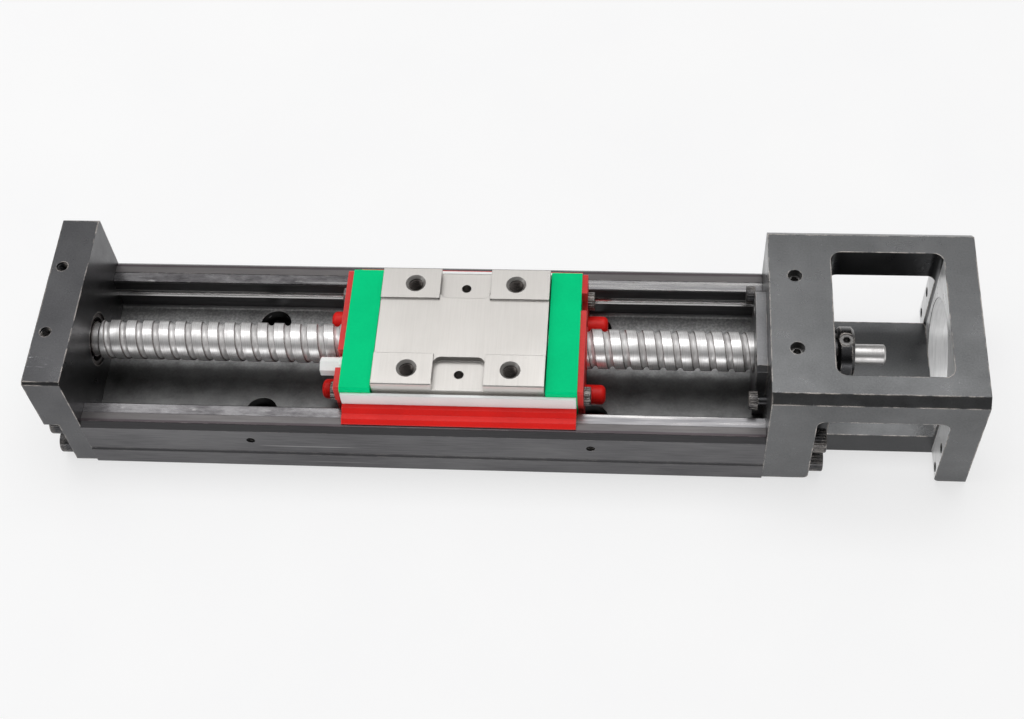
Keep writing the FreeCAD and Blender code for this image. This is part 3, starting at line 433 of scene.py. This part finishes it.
def block_steel():
    mat, tree, shader = start_material("ground carriage steel", 0.85, 0.34)
    ground = noise(tree, 0.35, (1, 0.03, 0.4), detail=3.0)
    cloud = noise(tree, 20.0, detail=5.0)
    colour = ramp(tree, mix(tree, 0.55, ground, cloud), [(0.3, (0.485, 0.466, 0.444)), (0.68, (0.535, 0.515, 0.491))])
    dust = ramp(tree, noise(tree, 1.6, detail=3.0, shift=(5, 2, 0)), [(0.7, 0.0), (0.78, 1.0)])
    colour = laid_over(tree, colour, dust, 0.2, (0.35, 0.34, 0.33))
    # darker in the lower half and beside the seals
    low = rising(tree, local(tree, "Z"), BLOCK_LEDGE_Z, BLOCK_LEDGE_Z - 1.1)
    colour = laid_over(tree, colour, low, 0.45, (0.16, 0.155, 0.15))
    # the upper outer walls are painted lighter as a painted reflection of the floor
    upright = rising(tree, facing(tree, "Z"), 0.4, 0.2)
    wall = both(tree, upright, rising(tree, local(tree, "Z"), BLOCK_LEDGE_Z - 0.1, BLOCK_LEDGE_Z + 0.1))
    outer = rising(tree, off_centre(tree, "Y"), *BLOCK_WALL_Y)
    colour = laid_over(tree, colour, both(tree, wall, outer), 0.8, (0.86, 0.83, 0.8))
    # the notches' walls and the pin holes are painted darker as painted shade
    inner = rising(tree, outer, 0.6, 0.4)
    middle = rising(tree, off_centre(tree, "X", CARRIAGE_X), *NOTCH_HALF_X)
    sunk = both(tree, upright, both(tree, inner, middle))
    colour = laid_over(tree, colour, sunk, 0.6, (0.12, 0.11, 0.105))
    # the tapped holes are painted near black inside as painted shade
    from_tap = distance(tree, maths(tree, "SUBTRACT", off_centre(tree, "X", CARRIAGE_X), TAP_PLACE),
                        maths(tree, "SUBTRACT", off_centre(tree, "Y"), TAP_PLACE))
    hole = both(tree, rising(tree, from_tap, *TAP_R), rising(tree, local(tree, "Z"), *TAP_MOUTH_Z))
    colour = laid_over(tree, colour, hole, 0.93, (0.035, 0.03, 0.028))
    edges = edge_share(tree, 0.25, 0.03, 0.16)
    colour = laid_over(tree, colour, edges, 0.4, (0.9, 0.89, 0.87))
    tree.links.new(colour, shader.inputs["Base Color"])
    tree.links.new(ramp(tree, mix(tree, 0.6, ground, cloud), [(0.35, 0.42), (0.65, 0.3)]), shader.inputs["Roughness"])
    tree.links.new(bump(tree, ground, 0.01, 0.14, rounded_normal(tree, 0.25)), shader.inputs["Normal"])
    return mat


def bright_metal(name, dark, light, rough):
    mat, tree, shader = start_material(name, 1.0, rough)
    lines = noise(tree, 0.5, detail=3.0)
    cloud = noise(tree, 6.0, detail=5.0)
    blend = mix(tree, 0.5, lines, cloud)
    colour = ramp(tree, blend, [(0.35, dark), (0.65, light)])
    edges = edge_share(tree, 0.15, 0.03, 0.16)
    colour = laid_over(tree, colour, edges, 0.4, (0.85, 0.84, 0.82))
    tree.links.new(colour, shader.inputs["Base Color"])
    tree.links.new(ramp(tree, blend, [(0.3, rough + 0.07), (0.7, rough - 0.05)]), shader.inputs["Roughness"])
    tree.links.new(bump(tree, lines, 0.01, 0.2, rounded_normal(tree, 0.15)), shader.inputs["Normal"])
    return mat


def moulded(name, colour, shade, edge, rough, gloss):
    mat, tree, shader = start_material(name, 0.0, rough)
    shader.inputs["Specular IOR Level"].default_value = gloss
    cloud = noise(tree, 12.0, detail=5.0)
    pores = noise(tree, 0.6, detail=2.0)
    tint = ramp(tree, mix(tree, 0.3, cloud, pores), [(0.35, shade), (0.62, colour)])
    marks = ramp(tree, noise(tree, 2.0, (0.3, 1, 1), detail=6.0, shift=(2, 2, 6)), [(0.68, 0.0), (0.75, 1.0)])
    tint = laid_over(tree, tint, marks, 0.15, edge)
    # the edges are painted a lighter tint as a painted highlight
    edges = edge_share(tree, 0.3, 0.03, 0.18)
    tint = laid_over(tree, tint, edges, 0.5, edge)
    tree.links.new(tint, shader.inputs["Base Color"])
    tree.links.new(ramp(tree, pores, [(0.3, rough + 0.07), (0.7, rough - 0.06)]), shader.inputs["Roughness"])
    tree.links.new(bump(tree, pores, 0.015, 0.2, rounded_normal(tree, 0.25)), shader.inputs["Normal"])
    return mat


housing_finish = machined_black("blackened housing", (0.10, 0.102, 0.104), (0.145, 0.147, 0.15), 0.3, 1.0,
                                bared=True)
plate_finish = machined_black("blackened end plate", (0.07, 0.07, 0.074), (0.108, 0.108, 0.112), 0.3, 1.0,
                              scuffed=True)
retainer_finish = machined_black("blackened retainer", (0.13, 0.13, 0.135), (0.2, 0.2, 0.205), 0.34, 0.6)
fastener_finish = machined_black("blackened fastener", (0.035, 0.035, 0.037), (0.07, 0.07, 0.073), 0.28, 0.5, 0.1)
nut_finish = machined_black("blackened nut", (0.035, 0.035, 0.037), (0.075, 0.075, 0.078), 0.24, 1.0, 0.15)
rail_finish = rail_steel()
screw_finish = screw_steel()
block_finish = block_steel()
ring_finish = bright_metal("bearing steel", (0.6, 0.6, 0.61), (0.8, 0.8, 0.81), 0.15)
# a darker copy of the bearing steel, painted shade on the end bearing's rings
shaded_ring_finish = bright_metal("shaded bearing steel", (0.1, 0.085, 0.08), (0.24, 0.21, 0.2), 0.3)
small_screw_finish = bright_metal("set screw", (0.1, 0.097, 0.095), (0.22, 0.215, 0.21), 0.22)
seal_screw_finish = bright_metal("oiled fastener", (0.1, 0.09, 0.085), (0.2, 0.185, 0.175), 0.32)
thread_finish = bright_metal("oily thread", (0.07, 0.06, 0.055), (0.17, 0.155, 0.145), 0.3)
green_finish = moulded("green plastic", (0.0, 0.71, 0.265), (0.0, 0.65, 0.245), (0.02, 0.74, 0.3), 0.5, 0.04)
red_finish = moulded("red rubber", (0.86, 0.016, 0.012), (0.74, 0.012, 0.009), (0.92, 0.2, 0.2), 0.42, 0.25)
seal_finish = moulded("bloomed red rubber", (0.74, 0.05, 0.045), (0.62, 0.03, 0.028), (0.85, 0.3, 0.3), 0.5, 0.25)
white_finish = moulded("white plastic", (0.96, 0.98, 0.97), (0.9, 0.92, 0.91), (0.97, 0.97, 0.96), 0.45, 0.3)

FINISH = {
    housing_finish: ["motor_housing"],
    plate_finish: ["end_plate"],
    retainer_finish: ["bearing_retainer"],
    rail_finish: ["rail"],
    fastener_finish: ["end_plate_screws", "motor_housing_screws", "retainer_screws", "stop_screws"],
    nut_finish: ["lock_nut", "spacer_collar"],
    screw_finish: ["ball_screw"],
    block_finish: ["carriage_block", "ball_nut"],
    shaded_ring_finish: ["end_bearing_outer_ring", "end_bearing_inner_ring"],
    ring_finish: ["support_bearing_outer_rings", "support_bearing_inner_rings", "bearing_balls", "nut_balls",
                  "guide_balls"],
    small_screw_finish: ["housing_set_screws", "lock_nut_set_screw"],
    seal_screw_finish: ["seal_screws"],
    green_finish: ["end_cap_left", "end_cap_right"],
    seal_finish: ["end_seal_left", "end_seal_right"],
    red_finish: ["side_seal_back", "side_seal_front", "bumpers"],
    white_finish: ["side_frame_back", "side_frame_front", "grease_plug"],
}
for finish, nodes in FINISH.items():
    for name in nodes:
        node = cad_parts[name]
        for material_slot in node.material_slots:
            material_slot.material = finish
        if not node.material_slots:
            node.data.materials.append(finish)


# fasteners and threads


def take(piece):
    deselect()
    piece.select_set(True)
    bpy.context.view_layer.objects.active = piece


def work_on(piece):
    take(piece)
    bpy.ops.object.mode_set(mode="EDIT")


def done():
    bpy.ops.object.mode_set(mode="OBJECT")


def choose_faces(piece, test):
    bpy.ops.mesh.select_mode(type="FACE")
    bpy.ops.mesh.select_all(action="DESELECT")
    done()
    for face in piece.data.polygons:
        face.select = test(face.normal)
    bpy.ops.object.mode_set(mode="EDIT")


def settle(piece):
    take(piece)
    bpy.ops.object.transform_apply(location=True, rotation=True, scale=True)


def apply_modifiers(piece):
    take(piece)
    for name in [modifier.name for modifier in piece.modifiers]:
        bpy.ops.object.modifier_apply(modifier=name)


def copy_to(model, where, turn):
    made = model.copy()
    made.data = model.data.copy()
    bpy.context.collection.objects.link(made)
    made.rotation_euler = turn
    made.location = where
    settle(made)
    return made


def join_as(name, pieces, finish, body):
    deselect()
    for piece in pieces:
        piece.select_set(True)
    bpy.context.view_layer.objects.active = pieces[0]
    if len(pieces) > 1:
        bpy.ops.object.join()
    joined = bpy.context.view_layer.objects.active
    joined.name = name
    joined.data.name = name
    joined.data.materials.clear()
    joined.data.materials.append(finish)
    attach(joined, body)
    return joined


def discard(piece):
    bpy.data.objects.remove(piece, do_unlink=True)


def socket_screw(head_d, head_h, socket, shank_d, flutes, reach):
    # stands upright, with the underside of its head at the origin
    r = head_d / 2 * MM
    deselect()
    bpy.ops.mesh.primitive_cylinder_add(vertices=2 * flutes, radius=r, depth=head_h * MM,
                                        location=(0, 0, head_h / 2 * MM))
    model = bpy.context.object
    settle(model)
    work_on(model)
    choose_faces(model, lambda n: n.z > 0.9)
    bpy.ops.mesh.bevel(offset=0.09 * head_h * MM, segments=3)
    # knurl: every second face of the side is sunk
    flute = 2 * math.pi / flutes
    choose_faces(model, lambda n: abs(n.z) < 0.05 and (math.atan2(n.y, n.x) / flute) % 1.0 < 0.5)
    bpy.ops.mesh.inset(thickness=0.05 * MM, depth=-0.09 * MM, use_individual=True)
    choose_faces(model, lambda n: n.z < -0.9)
    bpy.ops.mesh.inset(thickness=(head_d - shank_d) / 2 * MM)
    bpy.ops.mesh.extrude_region_move(TRANSFORM_OT_translate={"value": (0, 0, -reach * MM)})
    done()
    deselect()
    deep = 0.55 * head_h * MM
    bpy.ops.mesh.primitive_cylinder_add(vertices=6, radius=socket / math.sqrt(3) * MM, depth=2 * deep,
                                        location=(0, 0, head_h * MM))
    key = bpy.context.object
    settle(key)
    work_on(key)
    choose_faces(key, lambda n: n.z < -0.9)
    bpy.ops.mesh.extrude_region_move(TRANSFORM_OT_translate={"value": (0, 0, -0.12 * head_h * MM)})
    bpy.ops.transform.resize(value=(0.15, 0.15, 1.0))
    done()
    cut = model.modifiers.new("socket", "BOOLEAN")
    cut.operation = "DIFFERENCE"
    cut.object = key
    cut.solver = "EXACT"
    apply_modifiers(model)
    discard(key)
    bpy.ops.object.shade_smooth_by_angle(angle=math.radians(28))
    return model


def set_out(name, body, finish, model, places):
    pieces = [copy_to(model, (x * MM, y * MM, z * MM), turn) for x, y, z, turn in places]
    discard(model)
    return join_as(name, pieces, finish, body)


def fit_screws(name, node, body, finish, model, places):
    joined = set_out(name, body, finish, model, places)
    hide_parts(node)


end_places = [(y, z) for y in (-END_SCREW_Y, END_SCREW_Y) for z in END_SCREW_Z]
fit_screws("end_plate_socket_screws", "end_plate_screws", "base", fastener_finish,
           socket_screw(**M4, reach=14.4), [(PLATE_SEAT_X, y, z, LEFTWARD) for y, z in end_places])
fit_screws("housing_socket_screws", "motor_housing_screws", "base", fastener_finish,
           socket_screw(**M4, reach=21.2), [(HOUSING_SEAT_X, y, z, RIGHTWARD) for y, z in end_places])
retainer_places = [(y, AXIS_Z + z) for y in (-RETAINER_SCREW_Y, RETAINER_SCREW_Y)
                   for z in (-RETAINER_SCREW_Z, RETAINER_SCREW_Z)]
fit_screws("retainer_socket_screws", "retainer_screws", "base", fastener_finish,
           socket_screw(**M3, reach=6.3), [(RETAINER_SEAT_X, y, z, LEFTWARD) for y, z in retainer_places])
fit_screws("stop_socket_screws", "stop_screws", "base", fastener_finish, socket_screw(**M3_TALL, reach=8.0),
           [(STOP_SEAT_X, y, STOP_SCREW_Z, LEFTWARD) for y in (-STOP_SCREW_Y, STOP_SCREW_Y)])
seal_ends = ((CARRIAGE_X - SEAL_SEAT_X, LEFTWARD), (CARRIAGE_X + SEAL_SEAT_X, RIGHTWARD))
fit_screws("seal_socket_screws", "seal_screws", "carriage", seal_screw_finish, socket_screw(**M3, reach=17.0),
           [(x, y, SEAL_SCREW_Z, turn) for x, turn in seal_ends for y in (-SEAL_SCREW_Y, SEAL_SCREW_Y)])


def thread_model(bore_d, pitch, length):
    # a ridge wound down from the origin inside a plain hole
    size = 0.32 * pitch * MM
    deselect()
    bpy.ops.mesh.primitive_circle_add(vertices=3, radius=size, rotation=(math.radians(90), 0, 0))
    model = bpy.context.object
    settle(model)
    work_on(model)
    bpy.ops.mesh.select_all(action="SELECT")
    bpy.ops.transform.rotate(value=math.radians(90), orient_axis="Y", center_override=(0, 0, 0))
    bpy.ops.transform.translate(value=(bore_d / 2 * MM - 0.35 * size, 0, 0))
    done()
    wind = model.modifiers.new("wind", "SCREW")
    wind.axis = "Z"
    wind.iterations = max(1, int(length / pitch))
    wind.screw_offset = -pitch * MM
    wind.steps = 20
    wind.render_steps = 20
    wind.use_merge_vertices = False
    apply_modifiers(model)
    work_on(model)
    bpy.ops.mesh.select_mode(type="EDGE")
    bpy.ops.mesh.select_all(action="DESELECT")
    bpy.ops.mesh.select_non_manifold()
    bpy.ops.mesh.fill()
    bpy.ops.mesh.select_all(action="SELECT")
    bpy.ops.mesh.normals_make_consistent(inside=False)
    done()
    bpy.ops.object.shade_smooth_by_angle(angle=math.radians(40))
    return model


set_out("carriage_tap_threads", "carriage", thread_finish, thread_model(bore_d=4.3, pitch=0.8, length=6.4),
        [(CARRIAGE_X + x, y, TAP_TOP, UPRIGHT) for x in (-TAP_PLACE, TAP_PLACE) for y in (-TAP_PLACE, TAP_PLACE)])
set_out("end_plate_threads", "base", fastener_finish, thread_model(bore_d=3.3, pitch=0.7, length=6.6),
        [(PLATE_HOLE_X, y, PLATE_HOLE_TOP, UPRIGHT) for y in (-PLATE_HOLE_Y, PLATE_HOLE_Y)])
set_out("flange_threads", "base", fastener_finish, thread_model(bore_d=3.0, pitch=0.5, length=8.4),
        [(FLANGE_HOLE_X, y, z, RIGHTWARD) for y in (-FLANGE_HOLE_Y, FLANGE_HOLE_Y) for z in FLANGE_HOLE_Z])
set_out("sensor_threads", "base", fastener_finish, thread_model(bore_d=2.6, pitch=0.45, length=3.6),
        [(x, way * SENSOR_HOLE_Y, SENSOR_HOLE_Z, (math.radians(-90 * way), 0, 0))
         for x in (-SENSOR_HOLE_X, SENSOR_HOLE_X) for way in (-1, 1)])


def wiper_lip(name, x_mm, way):
    # a thin lip that leans out from the seal towards the screw
    deselect()
    bpy.ops.mesh.primitive_circle_add(vertices=72, radius=LIP_R * MM, rotation=RIGHTWARD,
                                      location=(x_mm * MM, 0, AXIS_Z * MM))
    lip = bpy.context.object
    settle(lip)
    work_on(lip)
    bpy.ops.mesh.select_all(action="SELECT")
    for step, size in ((0.45, 0.985), (0.35, 0.97), (0.2, 0.985)):
        bpy.ops.mesh.extrude_region_move(TRANSFORM_OT_translate={"value": (way * step * MM, 0, 0)})
        bpy.ops.transform.resize(value=(1, size, size), center_override=(x_mm * MM, 0, AXIS_Z * MM))
    bpy.ops.mesh.select_all(action="SELECT")
    bpy.ops.mesh.normals_make_consistent(inside=False)
    done()
    wall = lip.modifiers.new("wall", "SOLIDIFY")
    wall.thickness = 0.3 * MM
    wall.offset = 1.0
    edge = lip.modifiers.new("edge", "BEVEL")
    edge.width = 0.08 * MM
    edge.segments = 2
    apply_modifiers(lip)
    bpy.ops.object.shade_smooth_by_angle(angle=math.radians(40))
    join_as(name, [lip], seal_finish, "carriage")


wiper_lip("wiper_lip_left", CARRIAGE_X - LIP_PLACE_X, -1)
wiper_lip("wiper_lip_right", CARRIAGE_X + LIP_PLACE_X, 1)


# floor, light and camera


def make_floor():
    deselect()
    bpy.ops.mesh.primitive_plane_add(size=6.0, location=(0, 0, 0))
    floor = bpy.context.object
    floor.name = "floor"
    mat, tree, shader = start_material("paper floor", 0.0, 0.8)
    tint = ramp(tree, noise(tree, 60.0), [(0.3, (0.33, 0.33, 0.335)), (0.7, (0.35, 0.35, 0.35))])
    tree.links.new(tint, shader.inputs["Base Color"])
    shader.inputs["Specular IOR Level"].default_value = 0.1
    shader.inputs["Emission Color"].default_value = (1.0, 1.0, 1.0, 1.0)
    shader.inputs["Emission Strength"].default_value = 0.66
    floor.data.materials.append(mat)
    return floor


def soft_light(name, size, where, aim, power):
    deselect()
    bpy.ops.object.light_add(type="AREA", location=where)
    light = bpy.context.object
    light.name = name
    light.data.shape = "RECTANGLE"
    light.data.size = size[0]
    light.data.size_y = size[1]
    light.data.energy = power
    light.rotation_euler = (Vector(aim) - Vector(where)).to_track_quat("-Z", "Y").to_euler()
    return light


def make_room():
    world = bpy.data.worlds.new("studio")
    bpy.context.scene.world = world
    world.use_nodes = True
    tree = world.node_tree
    tree.nodes.clear()
    out = add(tree, "ShaderNodeOutputWorld")
    seen = add(tree, "ShaderNodeBackground")
    room = add(tree, "ShaderNodeBackground")
    choose = add(tree, "ShaderNodeMixShader")
    path = add(tree, "ShaderNodeLightPath")
    seen.inputs["Color"].default_value = (0.95, 0.95, 0.955, 1.0)
    seen.inputs["Strength"].default_value = 1.0
    coords = add(tree, "ShaderNodeTexCoord")
    split = add(tree, "ShaderNodeSeparateXYZ")
    tree.links.new(coords.outputs["Generated"], split.inputs[0])
    # height in the room, leaning towards the back, brought to 0 to 1
    lean = maths(tree, "MULTIPLY", split.outputs["Y"], 0.45)
    height = maths(tree, "ADD", split.outputs["Z"], lean)
    share = maths(tree, "MULTIPLY", maths(tree, "ADD", height, 0.5), 0.625)
    # bright at floor height in front, dark above that, bright overhead and behind
    bands = [(0.06, 1.0), (0.2, 0.9), (0.3, 0.04), (0.5, 0.06), (0.78, 1.0)]
    tree.links.new(ramp(tree, share, bands), room.inputs["Color"])
    room.inputs["Strength"].default_value = 0.55
    tree.links.new(path.outputs["Is Camera Ray"], choose.inputs["Fac"])
    tree.links.new(room.outputs[0], choose.inputs[1])
    tree.links.new(seen.outputs[0], choose.inputs[2])
    tree.links.new(choose.outputs[0], out.inputs["Surface"])


def make_camera():
    bpy.context.scene.view_settings.view_transform = "Standard"
    deselect()
    turn = tuple(math.radians(a) for a in EYE_TURN)
    bpy.ops.object.camera_add(location=EYE, rotation=turn)
    camera = bpy.context.object
    camera.data.sensor_width = SENSOR
    camera.data.lens = LENS
    camera.data.clip_start = 0.01
    bpy.context.scene.camera = camera


make_floor()
make_room()
soft_light("overhead", (1.2, 0.8), (0.0, 0.35, 1.3), (0, 0, 0), 7.5)
soft_light("low front fill", (1.8, 0.22), (0.0, -1.3, 0.13), (0, 0, 0.02), 3.6)
soft_light("left fill", (0.7, 0.7), (-1.2, -0.1, 0.9), (0, 0, 0), 2.8)
make_camera()
